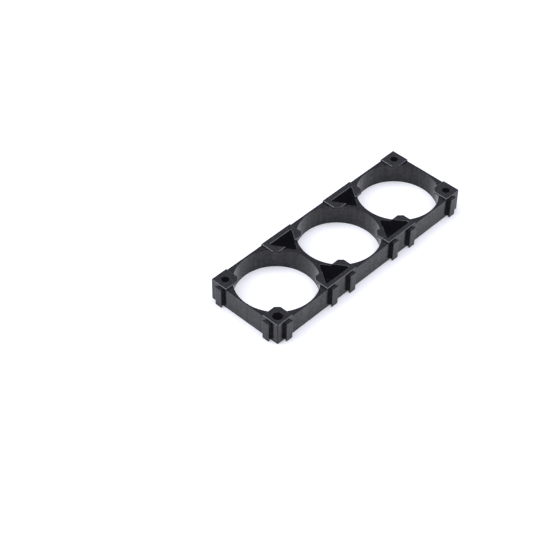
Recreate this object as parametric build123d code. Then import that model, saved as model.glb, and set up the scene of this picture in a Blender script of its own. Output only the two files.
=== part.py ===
from build123d import *
import math
import os

# Battery cell holder bracket for three large round cells (32650 size) in a row.
# One injection moulding. The cells go in from the open face at Z = 0 and stop
# against the corner tabs at the top. Brackets join side to side: two faces carry
# dovetail ribs, and the two faces opposite carry the slots that take them.
# Origin: centre of the middle cell at the open face. X runs along the row.

# Cells and the walls round them, in millimetres
cell_count = 3
cell_diameter = 32.4
cell_clearance = 0.25      # radial, so that a sleeved cell slides in by hand
web = 1.7                  # thinnest wall, between two neighbouring bores
module_gap = 0.2           # a bracket is this much under its share of the grid

# Heights above the open face
rim_height = 9.0
pad_rise = 0.8             # the pads stand this much above the rim, and are tabs over the bores

# Pads: one square in each corner of each cell, its inner corner cut off
pad_land = 1.3             # pad left beyond each end of a pocket's base
pad_cut = 1.7

# Coring out of the thick corners, blind from the top. A slot in the outer face
# behind a core needs room, so cores stand further in from the slotted faces.
core_floor = 1.5           # plastic left under pockets and holes
pocket_wall = 1.05         # thinnest plastic between a pocket and the bores beside it
pocket_slope = 35.0        # of a pocket's two long sides from the Y axis, in degrees
pocket_round = 0.5
rib_side_skin = 1.95       # pocket base from an outer face with ribs
slot_side_skin = 2.5
rib_side_inset = 3.5       # centre of a round hole from an outer face with ribs
slot_side_inset = 3.85
hole_diameter = 3.0
plain_hole_diameter = 3.9  # in the one corner that no slot enters

# Dovetails, one in each corner of each cell on every outer face
dovetail_inset = 5.0       # centre from the cell's own corner
rib_width = 3.4            # at its outer face
rib_undercut = 0.6         # how much the neck is narrower, each side
rib_depth = 1.4
rib_round = 0.2            # on its two outer edges
slot_play = 0.1            # clearance all round a rib in its slot

# Edge rounding of the mould
corner_round = 0.4
edge_round = 0.25          # on the rim

bore_radius = cell_diameter / 2 + cell_clearance
pitch = 2 * bore_radius + web
length = cell_count * pitch - module_gap
width = pitch - module_gap
top = rim_height + pad_rise
cell_centres = [(i - (cell_count - 1) / 2) * pitch for i in range(cell_count)]
boundaries = [x + pitch / 2 for x in cell_centres[:-1]]

# A pocket's long sides touch circles round the two bores that are larger by
# the pocket wall, and meet this far from the row's centre line
slope = math.radians(pocket_slope)
pocket_apex = (bore_radius + pocket_wall - pitch / 2 * math.cos(slope)) / math.sin(slope)


def pocket_base(skin):
    """Distance of a pocket's base from the row's centre line, and half its length."""
    out = width / 2 - skin
    return out, (out - pocket_apex) * math.tan(slope)


pad_side = pocket_base(rib_side_skin)[1] + pad_land


def outline():
    """Outer rectangle of the moulding, without its ribs."""
    return Rectangle(length, width)


def pad_sketch():
    """All the pads: a cut-cornered square in each corner of each cell."""
    reach = pitch / 2
    inner = reach - pad_side
    pad = Polygon(
        (reach, reach), (inner, reach), (inner, inner + pad_cut), (inner + pad_cut, inner), (reach, inner),
        align=None,
    )
    pads = Sketch()
    for x in cell_centres:
        for turn in range(4):
            pads += Pos(x, 0) * Rot(0, 0, 90 * turn) * pad
    return pads & outline()


def pocket_sketch():
    """Three-sided pockets between two bores and the outer wall."""
    pockets = Sketch()
    for turn, skin in ((0, rib_side_skin), (180, slot_side_skin)):
        out, half = pocket_base(skin)
        triangle = Polygon((-half, -out), (half, -out), (0, -pocket_apex), align=None)
        triangle = fillet(triangle.vertices(), pocket_round)
        for x in boundaries:
            pockets += Pos(x, 0) * Rot(0, 0, turn) * triangle
    return pockets


def hole_sketch():
    """Round core holes in the four outer corners."""
    inset = {-1: rib_side_inset, 1: slot_side_inset}
    holes = Sketch()
    for sx in (-1, 1):
        for sy in (-1, 1):
            size = plain_hole_diameter if sx + sy == -2 else hole_diameter
            holes += Pos(sx * (length / 2 - inset[sx]), sy * (width / 2 - inset[sy])) * Circle(size / 2)
    return holes


def dovetail(play):
    """Section of a rib that points along -Y from Y = 0, grown by the play all round."""
    outer = rib_width / 2 + play
    neck = outer - rib_undercut
    depth = rib_depth + play
    section = Polygon((-neck, 0), (-outer, -depth), (outer, -depth), (neck, 0), align=None)
    return fillet(section.vertices().group_by(Axis.Y)[0], rib_round)


def dovetail_row(cells, play):
    """Dovetail sections of one face, side by side along X."""
    row = Sketch()
    for i in range(cells):
        for side in (-1, 1):
            x = (i - (cells - 1) / 2) * pitch + side * (pitch / 2 - dovetail_inset)
            row += Pos(x, 0) * dovetail(play)
    return row


def rib_sketch():
    """Ribs on the -Y and -X faces."""
    long_face = Pos(0, -width / 2) * dovetail_row(cell_count, 0)
    short_face = Pos(-length / 2, 0) * Rot(0, 0, -90) * dovetail_row(1, 0)
    return long_face + short_face


def slot_sketch():
    """Slots in the +Y and +X faces, in line with the ribs opposite."""
    long_face = Pos(0, width / 2) * dovetail_row(cell_count, slot_play)
    short_face = Pos(length / 2, 0) * Rot(0, 0, -90) * dovetail_row(1, slot_play)
    return long_face + short_face


def cored_blocks(section, height):
    """Blocks of this section, with the outer corners rounded and the pockets cut out."""
    blank = extrude(outline(), height)
    blank = fillet(blank.edges().filter_by(Axis.Z), corner_round)
    pockets = Pos(0, 0, core_floor) * extrude(pocket_sketch(), height)
    return (blank & extrude(section, height)) - pockets


def rim():
    """The body up to its rim, whose edges are rounded. The pads above keep crisp edges."""
    block = cored_blocks(outline(), rim_height)
    top_edges = block.edges().filter_by_position(Axis.Z, rim_height, rim_height)
    return fillet(top_edges, edge_round)


def bracket():
    """The whole moulding."""
    bores = Sketch() + [Pos(x, 0) * Circle(bore_radius) for x in cell_centres]
    part = rim() + cored_blocks(pad_sketch(), top)
    part -= extrude(bores, rim_height)
    part -= Pos(0, 0, core_floor) * extrude(hole_sketch(), top)
    part += extrude(rib_sketch(), rim_height)
    part -= extrude(slot_sketch(), rim_height + slot_play)
    return part


os.makedirs("parts", exist_ok=True)
export_step(bracket(), "parts/cell_holder_bracket.step")
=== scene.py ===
import math

import bmesh
import bpy
from mathutils import Matrix, Vector


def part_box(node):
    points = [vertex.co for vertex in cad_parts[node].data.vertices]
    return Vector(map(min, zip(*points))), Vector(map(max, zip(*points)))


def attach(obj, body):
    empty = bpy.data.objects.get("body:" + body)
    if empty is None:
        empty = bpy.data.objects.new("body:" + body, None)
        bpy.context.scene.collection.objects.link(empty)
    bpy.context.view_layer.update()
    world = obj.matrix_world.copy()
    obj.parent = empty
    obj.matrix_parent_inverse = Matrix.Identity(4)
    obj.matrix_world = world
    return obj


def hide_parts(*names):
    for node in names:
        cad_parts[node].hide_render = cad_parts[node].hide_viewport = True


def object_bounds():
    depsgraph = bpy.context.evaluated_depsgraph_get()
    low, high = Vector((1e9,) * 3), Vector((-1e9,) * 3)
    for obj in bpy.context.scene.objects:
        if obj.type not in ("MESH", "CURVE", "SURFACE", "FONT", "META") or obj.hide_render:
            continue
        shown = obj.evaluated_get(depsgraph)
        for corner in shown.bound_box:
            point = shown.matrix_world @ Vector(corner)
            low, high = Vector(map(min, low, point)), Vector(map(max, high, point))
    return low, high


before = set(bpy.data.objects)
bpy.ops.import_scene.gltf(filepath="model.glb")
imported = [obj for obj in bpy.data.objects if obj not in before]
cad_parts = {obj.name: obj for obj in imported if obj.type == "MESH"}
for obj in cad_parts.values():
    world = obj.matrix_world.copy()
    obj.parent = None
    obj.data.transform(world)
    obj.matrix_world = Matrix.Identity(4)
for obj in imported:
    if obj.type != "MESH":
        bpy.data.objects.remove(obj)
cad_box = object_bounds()

# Cell holder bracket
# One injection moulding in charcoal flame-retardant ABS, which carries no paint.
# The mould was spark eroded and lightly polished. The rounded top edges carry a painted highlight, paler
# grey with extra gloss.

MM = 0.001

# The pads' top edges are rounded, and the mouths of the four corner holes are left sharp.
PAD_ROUND = 0.25 * MM
ROUND_SEGMENTS = 3
ROUND_PROFILE = 0.5                     # a quarter circle
WELD = 0.001 * MM                       # points nearer than this are one point
FLAT_ANGLE = math.radians(0.5)          # triangles at less than this are one face
CORNER_ANGLE = math.radians(30)         # faces at more than this meet in a corner
CURVE_ANGLE = math.radians(10)          # faces at less than this are one curve
RIB_DEPTH = 1.4 * MM
INSET_FROM_RIBBED = 3.5 * MM            # of a hole's centre from the ribbed faces
INSET_FROM_SLOTTED = 3.85 * MM          # and from the slotted faces
HOLE_REACH = 2.2 * MM                   # only the hole's own edge is this near its centre

CHARCOAL = (0.0004, 0.0004, 0.0005, 1.0)
CHARCOAL_PALE = (0.0095, 0.0097, 0.0112, 1.0)   # where flame retardant blooms at the skin
EDGE_HIGHLIGHT_GREY = (0.120, 0.121, 0.133, 1.0)          # painted highlight on the rounded edges

GRAIN_SIZE = 0.12 * MM                  # spark-eroded texture
GRAIN_HEIGHT = 0.0012 * MM
DRAG_SIZE = 0.9 * MM                    # polishing marks
DRAG_STRETCH = 0.07                     # drawn out along the way the mould opens
DRAG_HEIGHT = 0.0015 * MM
SINK_SIZE = 9.0 * MM                    # slow waves where the plastic sank as it cooled
SINK_HEIGHT = 0.012 * MM
CORNER_SOFTNESS = 0.30 * MM             # how far light softens round every corner
SOFTNESS_SAMPLES = 8

MOTTLE_SIZE = 1.1 * MM                  # blotches of the bloom
BLOOM_DRAG = 0.4                        # share of the bloom that follows the polishing marks
BLOOM_STARTS = 0.38
BLOOM_IS_FULL = 0.62

SATIN = 0.20                            # roughness of the skin
CLOUD_SIZE = 6.0 * MM
SATIN_CLOUDS = 0.10                     # how far the gloss clouds move the roughness
SATIN_MOTTLE = 0.06                     # and how far the mottle does
PLASTIC_SPECULAR = 0.17                 # specular level under the gloss
GLOSS = 0.10                            # of the skin where it has no bloom
BLOOM_GLOSS = 0.30                      # what a full bloom adds
GLOSS_ROUGHNESS = 0.2
RIM_DULLING = 0.90                      # share of the gloss that the rim's flat top has lost
PAD_DULLING = 0.35                      # and that the pads' flat tops have lost
LEVEL_STARTS = 0.90                     # upward part of the normal where a top starts to count as flat
LEVEL_IS_FULL = 0.99

PAD_LEVEL = cad_box[1].z - 0.5 * MM     # only the pads reach above this
RIM_EDGE_HIGHLIGHT = 2.2                       # four times the share of painted highlight grey on the rim's rounded edges
PAD_EDGE_HIGHLIGHT = 4.5                       # and on the pads'
EDGE_HIGHLIGHT_GLOSS = 0.9                        # what a full painted edge highlight adds to the gloss
CUT_CORNER = 0.2                        # X times Y of the normal on a cut corner, which gets no painted highlight


class Strand:
    """A shader socket that takes part in sums and products and adds nodes to its tree."""

    def __init__(self, tree, socket=None):
        self.tree = tree
        self.socket = socket

    def node(self, kind, settings=None, sockets=None, output=0):
        """Adds a node: its settings first, then the values or links of its sockets."""
        made = self.tree.nodes.new(kind)
        for name, value in (settings or {}).items():
            setattr(made, name, value)
        for name, value in (sockets or {}).items():
            if isinstance(value, Strand):
                self.tree.links.new(value.socket, made.inputs[name])
            else:
                made.inputs[name].default_value = value
        return Strand(self.tree, made.outputs[output]) if made.outputs else None

    def maths(self, operation, first, second):
        return self.node("ShaderNodeMath", {"operation": operation}, {0: first, 1: second})

    def __add__(self, other):
        return self.maths("ADD", self, other)

    def __sub__(self, other):
        return self.maths("SUBTRACT", self, other)

    def __rsub__(self, other):
        return self.maths("SUBTRACT", other, self)

    def __mul__(self, other):
        return self.maths("MULTIPLY", self, other)

    def __gt__(self, other):
        return self.maths("GREATER_THAN", self, other)

    __radd__ = __add__
    __rmul__ = __mul__


def noise(place, size, detail, roughness):
    """Noise from 0 to 1, with features of about this size."""
    sockets = {"Vector": place, "Scale": 1 / size, "Detail": detail, "Roughness": roughness}
    return place.node("ShaderNodeTexNoise", sockets=sockets)


def part_along(axis, vector):
    """One axis of a vector, as a number."""
    return vector.node("ShaderNodeSeparateXYZ", sockets={"Vector": vector}, output=axis)


def ramp(value, starts, is_full):
    """Climbs from 0 to 1 between two values, and is level before and after them."""
    sockets = {"Value": value, "From Min": starts, "From Max": is_full}
    return value.node("ShaderNodeMapRange", sockets=sockets)


def mixed(share, plain, other):
    """A colour between two others."""
    return share.node("ShaderNodeMix", {"data_type": "RGBA"}, {0: share, 6: plain, 7: other}, output=2)


def edge_highlight(normal, on_pads):
    """How much painted highlight an edge gets: most where it faces 45 degrees up, and none on a flat or
    on a cut corner.
    """
    upward = part_along("Z", normal)
    steepness = upward * upward
    cut_corner = ramp(part_along("X", normal) * part_along("Y", normal), 0.0, CUT_CORNER)
    strength = RIM_EDGE_HIGHLIGHT + on_pads * (PAD_EDGE_HIGHLIGHT - RIM_EDGE_HIGHLIGHT)
    return steepness * (1 - steepness) * strength * (1 - cut_corner)


def moulded_charcoal():
    """The moulded skin: charcoal with grain, polishing marks, sinks, bloom and gloss clouds, and a
    painted highlight on the rounded edges.
    """
    material = bpy.data.materials.new("moulded_charcoal")
    material.use_nodes = True
    tree = material.node_tree
    tree.nodes.clear()
    start = Strand(tree)
    place = start.node("ShaderNodeTexCoord", output="Object")
    drawn = start.node("ShaderNodeMapping", sockets={"Vector": place, "Scale": (1.0, 1.0, DRAG_STRETCH)})
    grain = noise(place, GRAIN_SIZE, detail=3.0, roughness=0.6)
    drag = noise(drawn, DRAG_SIZE, detail=3.0, roughness=0.5)
    sink = noise(place, SINK_SIZE, detail=1.0, roughness=0.4)
    mottle = noise(place, MOTTLE_SIZE, detail=2.0, roughness=0.6)
    clouds = noise(place, CLOUD_SIZE, detail=5.0, roughness=0.6)

    normal = start.node("ShaderNodeNewGeometry", output="Normal")
    on_pads = part_along("Z", place) > PAD_LEVEL
    # edge: painted highlight on the rounded top edges, pale grey in the base colour plus extra gloss
    edge = edge_highlight(normal, on_pads)

    bloom = ramp(mottle * (1 - BLOOM_DRAG) + drag * BLOOM_DRAG, BLOOM_STARTS, BLOOM_IS_FULL)
    level_top = ramp(part_along("Z", normal), LEVEL_STARTS, LEVEL_IS_FULL)
    dulling = level_top * (RIM_DULLING - on_pads * (RIM_DULLING - PAD_DULLING))
    gloss = (GLOSS + bloom * BLOOM_GLOSS) * (1 - dulling)

    softened = start.node("ShaderNodeBevel", {"samples": SOFTNESS_SAMPLES}, {"Radius": CORNER_SOFTNESS})
    relief = grain * GRAIN_HEIGHT + drag * DRAG_HEIGHT + sink * SINK_HEIGHT
    bumps = start.node("ShaderNodeBump", sockets={"Height": relief, "Distance": 1.0, "Normal": softened})
    surface = start.node("ShaderNodeBsdfPrincipled", sockets={
        "Base Color": mixed(edge, mixed(bloom, CHARCOAL, CHARCOAL_PALE), EDGE_HIGHLIGHT_GREY),
        "Roughness": SATIN + (clouds - 0.5) * SATIN_CLOUDS + (mottle - 0.5) * SATIN_MOTTLE,
        "Normal": bumps,
        "IOR": 1.5,
        "Specular IOR Level": PLASTIC_SPECULAR,
        "Coat Weight": gloss + edge * EDGE_HIGHLIGHT_GLOSS,
        "Coat Roughness": GLOSS_ROUGHNESS,
    })
    start.node("ShaderNodeOutputMaterial", sockets={"Surface": surface})
    return material


def hole_centres(low, high):
    """The centres of the four corner holes at the pads' tops, from the corners of the moulding's box."""
    ribbed = RIB_DEPTH + INSET_FROM_RIBBED
    return [
        Vector((x, y, high.z))
        for x in (low.x + ribbed, high.x - INSET_FROM_SLOTTED)
        for y in (low.y + ribbed, high.y - INSET_FROM_SLOTTED)
    ]


def rounded_moulding(node):
    """A copy of the moulding with the pads' top edges rounded, but not the mouths of the holes."""
    shell = bmesh.new()
    shell.from_mesh(node.data)
    bmesh.ops.remove_doubles(shell, verts=shell.verts, dist=WELD)
    bmesh.ops.dissolve_limit(shell, verts=shell.verts, edges=shell.edges, angle_limit=FLAT_ANGLE)
    low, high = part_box(node.name)
    holes = hole_centres(low, high)
    crisp = [
        edge for edge in shell.edges
        if all(high.z - end.co.z < WELD for end in edge.verts)
        and edge.calc_face_angle() > CORNER_ANGLE
        and all((edge.verts[0].co - hole).length > HOLE_REACH for hole in holes)
    ]
    bmesh.ops.bevel(
        shell, geom=crisp, affect="EDGES", offset=PAD_ROUND, offset_type="OFFSET",
        segments=ROUND_SEGMENTS, profile=ROUND_PROFILE,
    )
    bmesh.ops.triangulate(shell, faces=shell.faces)
    mesh = bpy.data.meshes.new("moulding")
    shell.to_mesh(mesh)
    shell.free()
    mesh.shade_smooth()
    mesh.set_sharp_from_angle(angle=CURVE_ANGLE)
    moulding = bpy.data.objects.new("moulding", mesh)
    bpy.context.scene.collection.objects.link(moulding)
    smoother = moulding.modifiers.new("smoother", "WEIGHTED_NORMAL")
    smoother.keep_sharp = True
    return moulding


moulding = rounded_moulding(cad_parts["cell_holder_bracket"])
moulding.data.materials.append(moulded_charcoal())
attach(moulding, "root")
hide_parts("cell_holder_bracket")

# Floor
# A seamless sheet of matt white paper on a light table, which glows a little
# from below and so keeps the paper free of tone.

FLOOR_HALF = 3.0
TABLE_WHITE = (0.90, 0.90, 0.90, 1.0)
TABLE_ROUGHNESS = 0.9
TABLE_GLOW = 0.30

table_z = cad_box[0].z
corners = [(-1, -1), (1, -1), (1, 1), (-1, 1)]
sheet = bpy.data.meshes.new("table_top")
sheet.from_pydata([(x * FLOOR_HALF, y * FLOOR_HALF, table_z) for x, y in corners], [], [(0, 1, 2, 3)])
table = bpy.data.objects.new("table_top", sheet)
bpy.context.scene.collection.objects.link(table)
paper = bpy.data.materials.new("white_table")
paper.use_nodes = True
paper_skin = paper.node_tree.nodes["Principled BSDF"]
paper_skin.inputs["Base Color"].default_value = TABLE_WHITE
paper_skin.inputs["Roughness"].default_value = TABLE_ROUGHNESS
paper_skin.inputs["Emission Color"].default_value = TABLE_WHITE
paper_skin.inputs["Emission Strength"].default_value = TABLE_GLOW
sheet.materials.append(paper)

# Lights
# A white room lights the table softly from all round, with a large softbox
# overhead and three smaller ones behind, on the left and on the right.

DAYLIGHT = (0.87, 0.88, 1.0)
ROOM = 0.26
LAMP_DISTANCE = 1.1


def toward(bearing, height):
    """The direction at this bearing and height angle, both in degrees."""
    level = Matrix.Rotation(math.radians(bearing), 3, "Z")
    return level @ Matrix.Rotation(math.radians(-height), 3, "Y") @ Vector((1, 0, 0))


def softbox(name, bearing, height, side, watts):
    """A square lamp in that direction from the bracket, turned to face it."""
    lamp = bpy.data.lights.new(name, "AREA")
    lamp.shape = "SQUARE"
    lamp.size = side
    lamp.energy = watts
    lamp.color = DAYLIGHT
    holder = bpy.data.objects.new(name, lamp)
    holder.location = toward(bearing, height) * LAMP_DISTANCE
    holder.rotation_euler = toward(bearing, height).to_track_quat("Z", "Y").to_euler()
    bpy.context.scene.collection.objects.link(holder)


softbox("softbox_overhead", bearing=45, height=88, side=1.0, watts=10.0)
softbox("softbox_behind", bearing=44, height=45, side=0.55, watts=0.85)
softbox("softbox_left", bearing=144, height=43, side=0.7, watts=5.2)
softbox("softbox_right", bearing=-54, height=38, side=0.5, watts=1.5)

room = bpy.data.worlds.new("room")
room.use_nodes = True
room.node_tree.nodes["Background"].inputs["Color"].default_value = (*DAYLIGHT, 1.0)
room.node_tree.nodes["Background"].inputs["Strength"].default_value = ROOM
bpy.context.scene.world = room

# Camera
# A long lens above the corner where the two ribbed sides meet, aimed past the
# bracket's left half so that it stands off centre. Stray light lifts its blacks.

AIM = Vector((-25.5, 14.03, 0.0)) * MM
CAMERA_DISTANCE = 577.65 * MM
CAMERA_BEARING = -136.01
CAMERA_HEIGHT_ANGLE = 44.52
CAMERA_ROLL = 0.245
FOCAL_LENGTH = 101.37        # in millimetres, as the sensor's width is
SENSOR_WIDTH = 36.0
CLIP_START = 10 * MM
HAZE = (0.0050, 0.0050, 0.0068)

lens = bpy.data.cameras.new("camera")
lens.sensor_width = SENSOR_WIDTH
lens.lens = FOCAL_LENGTH
lens.clip_start = CLIP_START
camera = bpy.data.objects.new("camera", lens)
back = toward(CAMERA_BEARING, CAMERA_HEIGHT_ANGLE)
camera.location = AIM + back * CAMERA_DISTANCE
upright = back.to_track_quat("Z", "Y").to_matrix()
camera.rotation_euler = (upright @ Matrix.Rotation(math.radians(CAMERA_ROLL), 3, "Z")).to_euler()
bpy.context.scene.collection.objects.link(camera)
bpy.context.scene.camera = camera

view = bpy.context.scene.view_settings
view.view_transform = "Standard"
view.use_curve_mapping = True
view.curve_mapping.black_level = [-haze for haze in HAZE]
view.curve_mapping.update()
